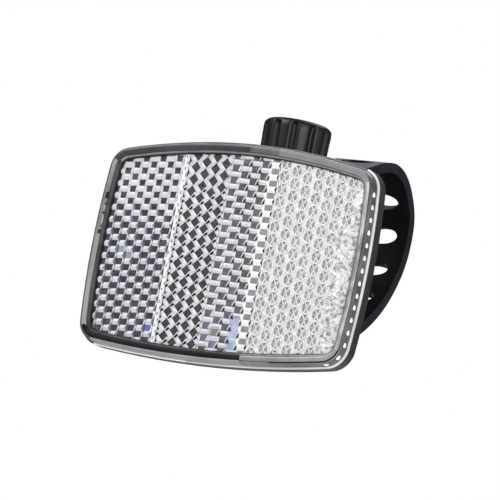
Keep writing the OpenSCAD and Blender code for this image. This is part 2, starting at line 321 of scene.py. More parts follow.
# painted sheen on the strap's upper faces
sheen(M["strap"], (0.075, 0.076, 0.098), 0.4)
M["knob"] = mat("knob_black", (0.0048, 0.0045, 0.0048), 0.40, vary=0.25, vary_scale=260, rvary=0.06, spec=0.33,
                bump=0.12, bump_scale=2400, bump_dist=0.00006)
M["steel"] = mat("zinc_plate", (0.62, 0.63, 0.65), 0.3, metal=1.0, vary=0.12, vary_scale=420, rvary=0.1,
                 tint=(0.5, 0.52, 0.56), tint_scale=90, tint_amount=0.5, bump=0.1, bump_scale=1800)
M["brass"] = mat("turned_brass", (0.72, 0.52, 0.24), 0.28, metal=1.0, vary=0.12, vary_scale=420, rvary=0.1,
                 tint=(0.55, 0.38, 0.17), tint_scale=90, tint_amount=0.5)


def glassy():
    """Thin clear face: it lets the prism bed through and adds only its gloss."""
    m = bpy.data.materials.new("face_clear")
    m.use_nodes = True
    nt = m.node_tree
    n = nt.nodes
    n.clear()
    out = n.new("ShaderNodeOutputMaterial")
    mix = n.new("ShaderNodeMixShader")
    tr = n.new("ShaderNodeBsdfTransparent")
    gl = n.new("ShaderNodeBsdfGlossy")
    gl.inputs["Roughness"].default_value = 0.06
    fr = n.new("ShaderNodeFresnel")
    fr.inputs["IOR"].default_value = 1.3
    nt.links.new(fr.outputs[0], mix.inputs[0])
    nt.links.new(tr.outputs[0], mix.inputs[1])
    nt.links.new(gl.outputs[0], mix.inputs[2])
    nt.links.new(mix.outputs[0], out.inputs[0])
    return m


M["clear"] = glassy()


# ------------------------------------------------------------------ mesh helpers
class Shape:
    """Collects vertices (face coordinates, mm) and faces with a material each."""

    def __init__(self, name):
        self.name, self.v, self.f, self.m, self.mats = name, [], [], [], []

    def slot(self, key):
        if key not in self.mats:
            self.mats.append(key)
        return self.mats.index(key)

    def add(self, pts, faces, key):
        o = len(self.v)
        self.v += [tuple(p) for p in pts]
        for i, f in enumerate(faces):
            self.f.append([o + k for k in f])
            self.m.append(self.slot(key if isinstance(key, str) else key[i]))

    def build(self, smooth=False, weld=0.0005):
        me = bpy.data.meshes.new(self.name)
        me.from_pydata([P(*p) for p in self.v], [], self.f)
        ob = bpy.data.objects.new(self.name, me)
        bpy.context.scene.collection.objects.link(ob)
        for k in self.mats:
            me.materials.append(M[k])
        for p, i in zip(me.polygons, self.m):
            p.material_index = i
            p.use_smooth = smooth
        if weld:
            bm = bmesh.new()
            bm.from_mesh(me)
            bmesh.ops.remove_doubles(bm, verts=bm.verts, dist=weld * MM)
            bmesh.ops.recalc_face_normals(bm, faces=bm.faces)
            bm.to_mesh(me)
            bm.free()
        me.update()
        return ob


def sharpen(ob, deg=30.0):
    """Smooth shading with edges over deg kept sharp."""
    me = ob.data
    for p in me.polygons:
        p.use_smooth = True
    bm = bmesh.new()
    bm.from_mesh(me)
    lim = math.radians(deg)
    for e in bm.edges:
        e.smooth = not (len(e.link_faces) != 2 or e.calc_face_angle(0.0) > lim)
    bm.to_mesh(me)
    bm.free()


# ------------------------------------------------------------------ outline of the reflector
W, H, ST, SB, SS, R0 = 84.0, 55.0, 3.8, 2.3, 1.0, 5.7


def outline(g, n_long=40, n_side=24, n_c=10):
    """Rectangle with arched sides and round corners, grown by g; runs anticlockwise from the top right."""
    r = R0 + g
    w, h = W / 2 - R0, H / 2 - R0
    out = []

    def arc_side(a, b, s, n):
        ax, az = a
        bx, bz = b
        l = math.hypot(bx - ax, bz - az)
        ux, uz = (bx - ax) / l, (bz - az) / l
        ox, oz = uz, -ux
        for i in range(n + 1):
            t = i / n
            px = ax + (bx - ax) * t + ox * 4 * s * t * (1 - t)
            pz = az + (bz - az) * t + oz * 4 * s * t * (1 - t)
            gx = ux + ox * 4 * s * (1 - 2 * t) / l
            gz = uz + oz * 4 * s * (1 - 2 * t) / l
            q = math.hypot(gx, gz)
            out.append((px + gz / q * r, pz - gx / q * r))

    def corner(c, a0, a1):
        for i in range(1, n_c):
            a = math.radians(a0 + (a1 - a0) * i / n_c)
            out.append((c[0] + r * math.cos(a), c[1] + r * math.sin(a)))

    def tilt(s, l):
        return math.degrees(math.atan(4 * s / l))

    tt, tb, ts = tilt(ST, 2 * w), tilt(SB, 2 * w), tilt(SS, 2 * h)
    arc_side((w, h), (-w, h), ST, n_long)
    corner((-w, h), 90 + tt, 180 - ts)
    arc_side((-w, h), (-w, -h), SS, n_side)
    corner((-w, -h), 180 + ts, 270 - tb)
    arc_side((-w, -h), (w, -h), SB, n_long)
    corner((w, -h), 270 + tb, 360 - ts)
    arc_side((w, -h), (w, h), SS, n_side)
    corner((w, h), ts, 90 - tt)
    return out


def sweep(shape, profile, keys, pick=None):
    """Rings of the outline at (grow, y) joined in order; keys name each band's material, pick(key, x, z) may change it."""
    rings = [[(x, y, z) for x, z in outline(g)] for g, y in profile]
    n = len(rings[0])
    for j in range(len(profile) - 1):
        a, b = rings[j], rings[j + 1]
        pts = a + b
        faces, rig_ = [], []
        for i in range(n):
            k = (i + 1) % n
            faces.append((i, k, n + k, n + i))
            x, z = (a[i][0] + a[k][0]) / 2, (a[i][2] + a[k][2]) / 2
            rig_.append(pick(keys[j], x, z) if pick else keys[j])
        shape.add(pts, faces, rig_)
    return rings


# ------------------------------------------------------------------ camera and light, as in the photograph
AZ, EL, ROLL, DIST, LENS = 31.0, -9.28, 10.998, 2.6, 678.0
a, e, ro = map(math.radians, (AZ, EL, ROLL))
back = Vector((math.sin(a) * math.cos(e), -math.cos(a) * math.cos(e), math.sin(e)))
right = Vector((math.cos(a), math.sin(a), 0.0))
up = back.cross(right)
r2 = right * math.cos(ro) + up * math.sin(ro)
u2 = up * math.cos(ro) - right * math.sin(ro)
target = P(7.88, 0.0, 1.877)
cam_data = bpy.data.cameras.new("camera")
cam = bpy.data.objects.new("camera", cam_data)
bpy.context.scene.collection.objects.link(cam)
cam_data.lens = LENS
cam_data.sensor_width = 36.0
cam_data.sensor_fit = "HORIZONTAL"
cam_data.clip_start = 0.1
cam_data.clip_end = 50.0
mw = Matrix.Identity(4)
for i in range(3):
    mw[i][0], mw[i][1], mw[i][2], mw[i][3] = r2[i], u2[i], back[i], (target + back * DIST)[i]
cam.matrix_world = mw
bpy.context.scene.camera = cam


def area(name, place, aim, size, power, size_y=None, color=(1, 1, 1)):
    d = bpy.data.lights.new(name, "AREA")
    d.energy = power
    d.color = color
    d.size = size
    if size_y:
        d.shape = "RECTANGLE"
        d.size_y = size_y
    o = bpy.data.objects.new(name, d)
    bpy.context.scene.collection.objects.link(o)
    o.location = place
    o.rotation_euler = (Vector(aim) - Vector(place)).to_track_quat("-Z", "Y").to_euler()
    return o


world = bpy.data.worlds.new("studio")
bpy.context.scene.world = world
world.use_nodes = True
wn = world.node_tree.nodes
wl = world.node_tree.links
wn.clear()
wo = wn.new("ShaderNodeOutputWorld")
wmix = wn.new("ShaderNodeMixShader")
lp = wn.new("ShaderNodeLightPath")
seen = wn.new("ShaderNodeBackground")
seen.inputs[0].default_value = (1, 1, 1, 1)
seen.inputs[1].default_value = 1.0
lit = wn.new("ShaderNodeBackground")
lit.inputs[0].default_value = (1, 1, 1, 1)
lit.inputs[1].default_value = 0.5
wl.new(lp.outputs["Is Camera Ray"], wmix.inputs[0])
dim = wn.new("ShaderNodeBackground")
dim.inputs[0].default_value = (0.92, 0.95, 1, 1)
dim.inputs[1].default_value = 0.10
wmix2 = wn.new("ShaderNodeMixShader")
wl.new(lp.outputs["Is Glossy Ray"], wmix2.inputs[0])
wl.new(lit.outputs[0], wmix2.inputs[1])
wl.new(dim.outputs[0], wmix2.inputs[2])
wl.new(wmix2.outputs[0], wmix.inputs[1])
wl.new(seen.outputs[0], wmix.inputs[2])
wl.new(wmix.outputs[0], wo.inputs[0])
bpy.context.scene.view_settings.view_transform = "Standard"

area("key", (-0.55, -0.9, 0.75), (0, -0.02, 0), 0.7, 17.0)
area("fill", (0.95, -0.85, 0.1), (0, -0.02, 0), 0.8, 11.0)
area("right", (1.1, 0.25, 0.25), (0, 0, 0), 0.4, 1.2)
area("top", (0.1, 0.45, 0.85), (0, 0.02, 0.03), 0.5, 4.0, color=(0.92, 0.94, 1.0))

fl = bpy.data.meshes.new("floor")
fl.from_pydata([(-3, -3.5, -0.62), (3, -3.5, -0.62), (3, 3, -0.62), (-3, 3, -0.62)], [], [(0, 1, 2, 3)])
floor = bpy.data.objects.new("floor", fl)
bpy.context.scene.collection.objects.link(floor)
fl.materials.append(mat("floor_pale", (0.86, 0.86, 0.86), 0.6, vary=0.02, vary_scale=4))
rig.stage(floor)

# ------------------------------------------------------------------ prism bed
BED, PIT = 1.55, 2.0          # depth of the ridges and of the cell floors behind the face
INNER = -2.75                 # the bed ends this far inside the outline
rng = random.Random(7)


def ring_faces(inner, outer):
    """Triangles between two closed rings sorted by angle around the cell's middle."""
    def ang(p):
        return math.atan2(p[1], p[0])
    a = sorted(inner, key=ang)
    b = sorted(outer, key=ang)
    na, nb = len(a), len(b)
    # start b at the point nearest in angle to a[0]
    k0 = min(range(nb), key=lambda k: abs(math.remainder(ang(b[k]) - ang(a[0]), 2 * math.pi)))
    tri = []
    i = j = 0
    while i < na or j < nb:
        ai, bj = a[i % na], b[(k0 + j) % nb]
        an, bn = a[(i + 1) % na], b[(k0 + j + 1) % nb]
        # the shorter diagonal goes first
        da = math.dist(an, bj) if i < na else 1e9
        db = math.dist(ai, bn) if j < nb else 1e9
        if da <= db:
            tri.append((("a", i % na), ("b", (k0 + j) % nb), ("a", (i + 1) % na)))
            i += 1
        else:
            tri.append((("a", i % na), ("b", (k0 + j) % nb), ("b", (k0 + j + 1) % nb)))
            j += 1
    return a, b, tri


def voronoi(c, p):
    """Hexagon round a point of a lattice with column step c and pitch p, columns half a pitch apart."""
    # neighbours: (0, p), (c, p/2), (c, -p/2) and their opposites
    out = []
    nb = [(0, p), (c, p / 2), (c, -p / 2), (0, -p), (-c, -p / 2), (-c, p / 2)]
    for k in range(6):
        (x1, y1), (x2, y2) = nb[k], nb[(k + 1) % 6]
        d1, d2 = (x1 * x1 + y1 * y1) / 2, (x2 * x2 + y2 * y2) / 2
        det = x1 * y2 - x2 * y1
        out.append(((d1 * y2 - d2 * y1) / det, (x1 * d2 - x2 * d1) / det))
    return out


def cell(shape, cx, cz, inner, outer, key_floor, key_side, pit=PIT, bed=BED, crown=0.0, flank=None):
    """A recessed cell: floor, and slopes up to the tile's edge; flank(x, z) may pick a slope's material."""
    a, b, tri = ring_faces(inner, outer)
    pts = [(cx + x, pit, cz + z) for x, z in a] + [(cx + x, bed, cz + z) for x, z in b]
    na = len(a)
    faces = [tuple((k if w == "a" else na + k) for w, k in t) for t in tri]
    keys = [key_side] * len(faces)
    if flank:
        for q, f in enumerate(faces):
            mx = sum(pts[k][0] for k in f) / len(f) - cx
            mz = sum(pts[k][2] for k in f) / len(f) - cz
            keys[q] = flank(mx, mz) or key_side
    if crown:
        # the floor rises or falls to its middle, as the cube-corner facets do
        pts.append((cx, pit + crown, cz))
        m = len(pts) - 1
        for i in range(na):
            faces.append((i, (i + 1) % na, m))
            keys.append(key_floor[i % len(key_floor)] if isinstance(key_floor, list) else key_floor)
    else:
        faces.append(tuple(range(na)))
        keys.append(key_floor if isinstance(key_floor, str) else key_floor[0])
    shape.add(pts, faces, keys)


def chip(shape, pts2, y0, y1, key):
    """A small closed wedge standing on the bed: base at y0, top face at y1."""
    n = len(pts2)
    cx, cz = sum(p[0] for p in pts2) / n, sum(p[1] for p in pts2) / n
    base = [(x, y0, z) for x, z in pts2]
    top = [(cx + (x - cx) * 0.82, y1, cz + (z - cz) * 0.82) for x, z in pts2]
    faces = [tuple(range(n, 2 * n)), tuple(reversed(range(n)))]
    faces += [(i, (i + 1) % n, n + (i + 1) % n, n + i) for i in range(n)]
    shape.add(base + top, faces, key)


def clip(shape, lo, hi):
    """Builds the section and cuts it at x = lo, x = hi and the bed's outline."""
    ob = shape.build(weld=0.001)
    bm = bmesh.new()
    bm.from_mesh(ob.data)

    def cut(co, no):
        bmesh.ops.bisect_plane(bm, geom=list(bm.verts) + list(bm.edges) + list(bm.faces), dist=1e-8,
                               plane_co=co, plane_no=no, clear_outer=True)
    if lo is not None:
        cut(P(lo, 0, 0), (-1, 0, 0))
    if hi is not None:
        cut(P(hi, 0, 0), (1, 0, 0))
    ring = outline(INNER, 12, 6, 5)
    for i in range(len(ring)):
        (x1, z1), (x2, z2) = ring[i], ring[(i + 1) % len(ring)]
        d = math.hypot(x2 - x1, z2 - z1)
        if d < 1e-6:
            continue
        cut(P(x1, 0, z1), ((z2 - z1) / d, 0, -(x2 - x1) / d))
    bm.to_mesh(ob.data)
    bm.free()
    return ob


S1, S2, S3 = -19.4, -4.45, 11.45
beds = []

# section 1: rows of dark squares, half a step apart, with ribs lower down, all painted reflection and painted shade
s = Shape("prism_section_1")
vx, vz, wx, wz = 5.31, 0.43, -2.65, -1.95
hexa = []
for k in range(6):
    pass


def lattice_cell(u, v):
    """Cell of a general lattice with steps u and v: the hexagon of points nearer than any neighbour."""
    nb = []
    for i in range(-2, 3):
        for j in range(-2, 3):
            if i or j:
                nb.append((i * u[0] + j * v[0], i * u[1] + j * v[1]))
    poly = [(-20, -20), (20, -20), (20, 20), (-20, 20)]
    for nx, nz in nb:
        d = (nx * nx + nz * nz) / 2
        out = []
        for i in range(len(poly)):
            p, q = poly[i], poly[(i + 1) % len(poly)]
            sp, sq = p[0] * nx + p[1] * nz - d, q[0] * nx + q[1] * nz - d
            if sp <= 0:
                out.append(p)
            if (sp < 0 < sq) or (sq < 0 < sp):
                t = sp / (sp - sq)
                out.append((p[0] + (q[0] - p[0]) * t, p[1] + (q[1] - p[1]) * t))
        poly = out
    return poly


tile1 = lattice_cell((vx, vz), (wx, wz))
sq1 = [(-0.98, 0.86), (0.98, 0.98), (0.86, -0.84), (-0.86, -0.92)]
# small patches of painted blue, lavender and dark reflection on the cell floors
BLUES = ((-17.6, 0.6, 1.6, "blue_dark"), (-20.5, -22.5, 1.6, "blue_mid"), (-23.2, -22.8, 1.4, "lav_dark"), (-35.5, -1.0, 2.0, "blue_pale"),
         (-31.5, -3.5, 2.0, "blue_pale"), (-21.0, 5.0, 1.4, "dark2"))
for i in range(-24, 28):
    for j in range(-30, 34):
        cx, cz = -34.48 + i * vx + j * wx, 23.34 + i * vz + j * wz
        if not (-44 < cx < -16.5 and -32 < cz < 33):
            continue
        # painted shade: towards the lower left the flanks are painted greyer, the left ones most, with dark ribs at
        # their left
        low = min(1.0, max(0.0, (15 - cz) / 14))
        wig = rng.random()

        def flank(mx, mz, low=low, wig=wig):
            if abs(mx) < 0.95 or abs(mz) > 1.15:
                return None
            if mx < 0:
                return "mid3" if low > 0.35 + 0.5 * wig else "white2"
            return "white2" if low + wig > 0.5 else "white"

        floor_key = "dark1"
        for bx, bz, br, bk in BLUES:
            if math.hypot(cx - bx, cz - bz) < br:
                floor_key = bk
        cell(s, cx, cz, sq1, tile1, floor_key, "white" if low < 0.5 or wig < 0.6 else "blue_white", flank=flank)
        if low > 0.2:
            chip(s, [(cx - 1.25, cz - 1.0), (cx - 0.98, cz - 1.0), (cx - 0.98, cz + 0.9), (cx - 1.25, cz + 0.7)],
                 PIT, BED + 0.02, "dark3" if wig < low else "mid3")
beds.append(clip(s, None, S1 + 0.2))

# white strip with small curls between sections 1 and 2, painted reflection
s = Shape("prism_strip_1")
n = 72
for j in range(n):
    z0 = -31 + j * 64 / n
    z1 = z0 + 64 / n
    yb = 0.16 if j % 3 else 0.0
    s.add([(S1 + 0.2, BED, z0), (S1 + 0.9, BED + yb, z0), (S1 + 0.9, BED + yb, z1), (S1 + 0.2, BED, z1)], [(0, 1, 2, 3)], "pearl")
    s.add([(S1 + 0.9, BED + yb, z0), (S1 + 1.6, BED + 0.05, z0), (S1 + 1.6, BED + 0.05, z1), (S1 + 0.9, BED + yb, z1)],
          [(0, 1, 2, 3)], "white")
for j in range(38):
    cz = 28.6 - j * 1.73
    cx = S1 + (0.62 if j % 2 else 1.28) + rng.uniform(-0.12, 0.12)
    h = rng.uniform(0.3, 0.62)
    chip(s, [(cx - 0.12, cz - h), (cx + 0.14, cz - h + 0.1), (cx + 0.2, cz + h), (cx - 0.06, cz + h - 0.1)],
         BED + 0.2, BED - 0.1, ("dark3", "mid3", "dark2", "mid3")[j % 4])
    if j % 3 == 0:
        cx = S1 - 0.35 + rng.uniform(-0.2, 0.3)
        chip(s, [(cx - 0.3, cz - 0.5), (cx + 0.25, cz - 0.6), (cx + 0.35, cz + 0.55), (cx - 0.2, cz + 0.6)], BED + 0.2, BED - 0.08, "pearl")
beds.append(clip(s, None, None))

# section 2: dark diamonds on a white network, small black slashes lower down, painted reflection and painted shade
s = Shape("prism_section_2")
c2, p2 = 3.15, 3.45
tile2 = voronoi(c2, p2)
dia = [(0.05, 1.66), (1.52, 0.02), (0.24, -1.68), (-1.52, 0.12)]
for i in range(-2, 6):
    for j in range(-17, 5):
        cx, cz = -15.6 + i * c2, 24.11 + (j + (0.5 if i % 2 else 0.0)) * p2
        if not (-34 < cz < 34):
            continue
        cell(s, cx, cz, dia, tile2, "dark2", "white")
        low = min(1.0, max(0.0, (19 - cz) / 8))
        if low > 0:
            k = 0.5 + 0.5 * low
            chip(s, [(cx + 0.47 + 0.4 * (1 - k), cz - 1.86 + 0.5 * (1 - k)), (cx + 0.91 + 0.2 * (1 - k), cz - 2.16 + 0.5 * (1 - k)),
                     (cx + 1.78, cz - 1.20), (cx + 1.26, cz - 0.80)], PIT, BED - 0.1, "black")
            chip(s, [(cx + 0.28, cz - 1.86), (cx + 0.44, cz - 1.95), (cx + 1.62, cz - 0.22), (cx + 1.5, cz - 0.1)],
                 PIT, BED - 0.14, "pearl")
beds.append(clip(s, S1 + 1.6, S2))

# section 3: dark squares with slashes at their right, and a column of lighter ones, painted reflection and painted
# shade
s = Shape("prism_section_3")
c3, p3 = 3.07, 3.46
tile3 = voronoi(c3, p3)
par = [(-1.40, 1.04), (1.30, 1.08), (1.16, -1.06), (-1.42, -0.98)]
# patches of painted coloured reflection low in the section: middle, radius, floor, slopes
CASTS = ((8.6, -19.5, 2.6, "lav", "lav"), (9.8, -12.5, 2.3, "lav", "lav"), (6.5, -24.0, 2.6, "lav", "ice"), (1.6, -20.8, 1.5, "amber", "ice"),
         (-0.5, -24.5, 1.7, "lav_dark", None), (-2.9, -22.0, 2.2, "lav_dark", None), (5.2, -17.0, 1.9, "lav_dark", None),
         (8.2, 0.5, 1.3, None, "straw"), (5.5, -8.6, 1.3, "dark3", "straw"), (9.0, -26.0, 1.6, "ice", "blue_white"))
for i in range(-2, 5):
    for j in range(-18, 4):
        cx, cz = 0.66 + i * c3, 26.64 + (j + (0.5 if i % 2 else 0.0)) * p3
        if not (-34 < cz < 34):
            continue
        last = i == 3
        if i == 4:
            continue
        key = "mid3" if last else ("dark3" if i < 2 else "dark3")
        if last:
            rr = [(-1.2, 0.5), (-0.95, 0.82), (1.0, 0.86), (1.25, 0.5), (1.2, -0.6), (0.95, -0.88), (-1.0, -0.84), (-1.25, -0.5)]
            cell(s, cx, cz, rr, tile3, key, "pearl")
        else:
            side = "white"
            for bx, bz, br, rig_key, sk_key in CASTS:
                if math.hypot(cx - bx, cz - bz) < br:
                    key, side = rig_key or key, sk_key or side
            cell(s, cx, cz, par, tile3, key, side)
            if i > -1:
                chip(s, [(cx + 1.05, cz - 0.95), (cx + 1.85, cz - 0.9), (cx + 1.6, cz + 0.35)], PIT, BED - 0.08, "black")
            chip(s, [(cx + 0.72, cz - 0.9), (cx + 0.92, cz - 0.9), (cx + 1.5, cz + 0.85), (cx + 1.32, cz + 0.85)],
                 PIT, BED - 0.14, "pearl")
beds.append(clip(s, S2, S3))

# section 4: cube-corner hexagons split by thin white ridges, painted reflection and painted shade that fade to white
# at the right
s = Shape("prism_section_4")
c4, p4 = 3.70, 3.60
tile4 = voronoi(c4, p4)
hexp = [(-0.86, 1.60), (0.86, 1.60), (1.56, 0.42), (1.50, -0.56), (0.84, -1.60), (-0.84, -1.60), (-1.54, -0.5), (-1.54, 0.5)]


def ridge(shape, x0, z0, x1, z1, w, y0, y1, key):
    d = math.hypot(x1 - x0, z1 - z0)
    nx, nz = -(z1 - z0) / d * w / 2, (x1 - x0) / d * w / 2
    chip(shape, [(x0 + nx, z0 + nz), (x0 - nx, z0 - nz), (x1 - nx, z1 - nz), (x1 + nx, z1 + nz)], y0, y1, key)


for i in range(-1, 8):
    for j in range(-18, 6):
        cx, cz = 13.35 + i * c4, 23.66 + (j + (0.5 if i % 2 else 0.0)) * p4
        if not (-34 < cz < 34):
            continue
        fade = min(1.0, max(0.0, (cx - 33.0 - (2.4 if cz > 12 else 0.0)) / 4.0))
        k = 1.0 - 0.35 * fade
        keys = ["hex", "hexl", "hex", "hex", "hexl", "hex", "hex", "hexl"]
        if fade > 0.3:
            keys = ["soft4"]
        cell(s, cx, cz, [(x * k, z * k) for x, z in hexp], tile4, keys, "soft4", crown=-0.14 if fade <= 0.3 else -0.3)
        for q in range(8 if fade <= 0.3 else 0):
            (x0, z0), (x1, z1) = hexp[q], hexp[(q + 1) % 8]
            ridge(s, cx + x0 * 1.03, cz + z0 * 1.03, cx + x1 * 1.03, cz + z1 * 1.03, 0.20, PIT, BED - 0.08, "pearl")
        if fade <= 0.3:
            for (x0, z0, x1, z1) in ((-0.82, 1.6, 0.82, -1.6), (0.82, 1.6, -0.82, -1.6)):
                ridge(s, cx + x0 * k, cz + z0 * k, cx + x1 * k, cz + z1 * k, 0.23, PIT + 0.05, PIT - 0.26, "pearl")
        else:
            # fine curls, each a short bent run of ridges
            for q in range(13):
                an = rng.uniform(0, 2 * math.pi)
                ox, oz = cx + rng.uniform(-1.7, 1.7), cz + rng.uniform(-1.7, 1.7)
                for seg in range(3):
                    nx_, nz_ = ox + 0.42 * math.cos(an), oz + 0.42 * math.sin(an)
                    ridge(s, ox, oz, nx_, nz_, 0.15, PIT, BED - 0.06, ("curl", "pearl", "curl", "hexl")[q % 4])
                    ox, oz = nx_, nz_
                    an += 0.9
beds.append(clip(s, S3, None))

for ob in beds:
    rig.ride(ob, "bracket")
    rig.slot(ob, "clear_lens")

# ------------------------------------------------------------------ rim of the tray, side wall and flange
def painted_rim_shade(key, x, z):
    """Painted shade, painted light and painted reflection of the clear rim, side wall and flange: each band's material
    changes round the outline by side, standing in for the black housing seen through the clear plastic and the light
    on it; the flange is painted dark along the top and the left and painted bright elsewhere, with near-white painted
    highlights along the lower left.
    """
    top, bottom, left_, right_ = z > 23.5, z < -23.5, x < -38, x > 38
    corner = x > 38.5 and z > 20
    if key == "inner":
        return "line2" if (top and x > 10.5) or x > 36 else "line"
    if key == "brow":
        key = "side"
        if bottom and x > 20:
            return "line"
    if key == "foot":
        key = "side"
        if bottom and x > 20:
            return "wall"
    if key == "bar":
        if top:
            return "rimt" if x > 10.5 else ("rim2" if x > 2 else "rim")
        if bottom:
            return "rimm" if x > 11.5 else "deep"
        if left_:
            return "rimm" if z > 2 else "riml"
        return "rimr"
    if key == "slope":
        if top:
            return "riml" if x > 10.5 else ("rim2" if x > 2 else "rim")
        if bottom:
            return "rimm" if x > 11.5 else "deep"
        if left_:
            return "rimm" if z < 6 else "rim2"
        return "rim2"
    if key == "thin":
        if top:
            return "riml" if x > 10.5 else "rimm"
        if bottom:
            return "rimm" if x > 11.5 else "line2"
        return "line2" if left_ else "rimr"
    if key == "edge":
        if top:
            return "rim"
        if left_:
            return "rim2"
        return "line" if (bottom and x > 11.5) or right_ or x > 36 else "riml"
    if key == "side":
        if top:
            return "rim2" if x > 10.5 else "line2"
        if left_:
            return "line2"
        if bottom:
            return "rimm" if x > 11.5 else "riml"
        return "wall"
    if key == "flange":
        if (top and not corner) or left_:
            return "rim"
        return "drop" if bottom and x < -8 else "bright"
    return key


# each band's shade round the outline is painted shade, painted light and painted reflection
shell = Shape("lens_rim")
sweep(shell, [(INNER - 0.1, 2.15), (INNER - 0.1, 1.5), (-2.66, 1.25), (-2.46, 0.98), (-2.06, 0.46), (-1.84, 0.18), (-1.6, 0.1),
              (-0.4, 0.1), (-0.22, 0.14), (0.08, 0.2), (0.28, 0.48), (0.42, 1.6), (0.53, 2.75),
              (0.56, 2.93), (0.85, 2.93), (1.0, 3.05), (1.0, 3.7), (0.5, 3.7)],
      ["inner", "inner", "line2", "thin", "inner", "slope", "bar", "edge", "brow", "side", "foot", "foot",
       "line", "flange", "flange", "flange", "line"], painted_rim_shade)
rim = shell.build()
sharpen(rim, 40)
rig.ride(rim, "bracket")
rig.slot(rim, "clear_lens")

# dark and pale marks set on the left bar
marks = Shape("bar_marks")
for (mx, mz, w, h, key) in ((-41.13, 13.56, 0.55, 1.0, "black"),
                           (-41.02, 11.15, 0.32, 0.32, "black"),
                           (-41.35, 8.55, 0.55, 0.2, "black"),
                           (-41.45, 3.12, 0.6, 0.6, "line"),
                           (-41.38, 4.75, 0.35, 0.25, "line2"),
                           (-41.31, 9.98, 0.3, 0.6, "riml"),
                           (-41.3, 6.56, 0.4, 1.3, "riml")):
    marks.add([(mx - w, 0.04, mz - h), (mx + w, 0.04, mz - h * 0.8), (mx + w * 0.9, 0.04, mz + h), (mx - w * 0.8, 0.04, mz + h * 0.9),
               (mx - w, 0.12, mz - h), (mx + w, 0.12, mz - h * 0.8), (mx + w * 0.9, 0.12, mz + h), (mx - w * 0.8, 0.12, mz + h * 0.9)],
              [(0, 1, 2, 3), (7, 6, 5, 4), (0, 4, 5, 1), (1, 5, 6, 2), (2, 6, 7, 3), (3, 7, 4, 0)], key)
mk = marks.build()
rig.ride(mk, "bracket")
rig.slot(mk, "clear_lens")

# row of small facets moulded in the side wall, painted near-white as painted glints, only on the right side and the
# lower right corner, where the glints show
drops = Shape("wall_facets")
pts = outline(0.0, 220, 150, 14)
path = [(x, z) for x, z in pts]
acc, last_at = 0.0, None
step = 3.55
carry = -0.95
for i in range(len(path)):
    x0, z0 = path[i]
    x1, z1 = path[(i + 1) % len(path)]
    d = math.hypot(x1 - x0, z1 - z0)
    if d < 1e-6:
        continue
    carry += d
    if carry >= step:
        carry -= step
        if x0 < 35 or z0 > 23.5 or (x0 < 38 and z0 > 0):
            continue
        tx, tz = (x1 - x0) / d, (z1 - z0) / d
        nx, nz = tz, -tx
        # a teardrop on the sloping wall, standing 0.12 mm proud
        shp = []
        for k in range(10):
            t = 2 * math.pi * k / 10
            al = 0.90 * math.cos(t) * (1.0 + 0.35 * math.cos(t))
            ac = 0.72 * math.sin(t)
            shp.append((al, ac))
        base, top = [], []
        for al, ac in shp:
            y = 1.65 + ac
            g = 0.28 + 0.25 * (y - 0.48) / 2.27
            base.append((x0 + tx * al + nx * (g - 0.1), y, z0 + tz * al + nz * (g - 0.1)))
            top.append((x0 + tx * al * 0.7 + nx * (g + 0.1), 1.65 + ac * 0.7, z0 + tz * al * 0.7 + nz * (g + 0.1)))
        n = len(shp)
        faces = [tuple(range(n, 2 * n)), tuple(reversed(range(n)))] + [(i2, (i2 + 1) % n, n + (i2 + 1) % n, n + i2) for i2 in range(n)]
        drops.add(base + top, faces, "drop")
dr = drops.build()
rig.ride(dr, "bracket")
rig.slot(dr, "clear_lens")

# clear face over the prism bed
face = Shape("lens_face")
edge_ring = [(x, 1.0, z) for x, z in outline(-2.46)]
face.add(edge_ring, [tuple(range(len(edge_ring)))], "clear")
fc = face.build(weld=0)
if fc.data.polygons[0].normal.y > 0:          # the sheet faces forward
    fc.data.flip_normals()
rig.ride(fc, "bracket")
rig.slot(fc, "clear_lens")
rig.replaces(rim, "lens")

# ------------------------------------------------------------------ back cover
cov = Shape("back_cover_shell")
rings = sweep(cov, [(0.5, 3.72), (0.88, 3.72), (1.0, 3.84), (1.0, 6.95), (0.9, 7.2), (0.6, 7.5), (-1.6, 8.75), (-2.3, 9.1), (-3.0, 9.35),
                    (-4.0, 9.48), (-5.0, 9.5)], ["cover"] * 10)
# flat back with a shallow groove; these rings shrink the last one, since its corners are nearly sharp
base = rings[-1]
half_w, half_h = max(q[0] for q in base), max(q[2] for q in base)
for g, y in ((-9.0, 9.5), (-9.15, 9.35), (-9.7, 9.35), (-9.85, 9.5), (-14.0, 9.5)):
    kx, kz = 1 - (-5.0 - g) / half_w, 1 - (-5.0 - g) / half_h
    nxt = [(q[0] * kx, y, q[2] * kz) for q in base]
    last = rings[-1]
    cov.add(last + nxt, [(i, (i + 1) % len(base), len(base) + (i + 1) % len(base), len(base) + i) for i in range(len(base))], "cover")
    rings.append(nxt)
# flat middle with the screw hole
hole = [(2.6 * math.cos(t), 9.5, 2.6 * math.sin(t)) for t in [2 * math.pi * k / 48 for k in range(48)]]
ring = rings[-1]
n = len(ring)


def near(p):
    t = math.atan2(p[2], p[0]) % (2 * math.pi)
    return int(round(t / (2 * math.pi) * 48)) % 48


pts = ring + hole
faces = []
for i in range(n):
    k = (i + 1) % n
    hi_, hk = near(ring[i]), near(ring[k])
    faces.append((i, k, n + hi_))
    h0 = hi_
    while h0 != hk:
        h1 = (h0 + 1) % 48
        if (h0 - hk) % 48 < (hk - h0) % 48:
            h1 = (h0 - 1) % 48
        faces.append((k, n + h1, n + h0))
        h0 = h1
cov.add(pts, faces, "cover")
hole_in = [(x, 8.0, z) for x, y, z in hole]
cov.add(hole + hole_in, [(i, (i + 1) % 48, 48 + (i + 1) % 48, 48 + i) for i in range(48)], "cover")
cv = cov.build()
sharpen(cv, 35)
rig.ride(cv, "bracket")
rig.slot(cv, "black_housing")
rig.replaces(cv, "back_cover")


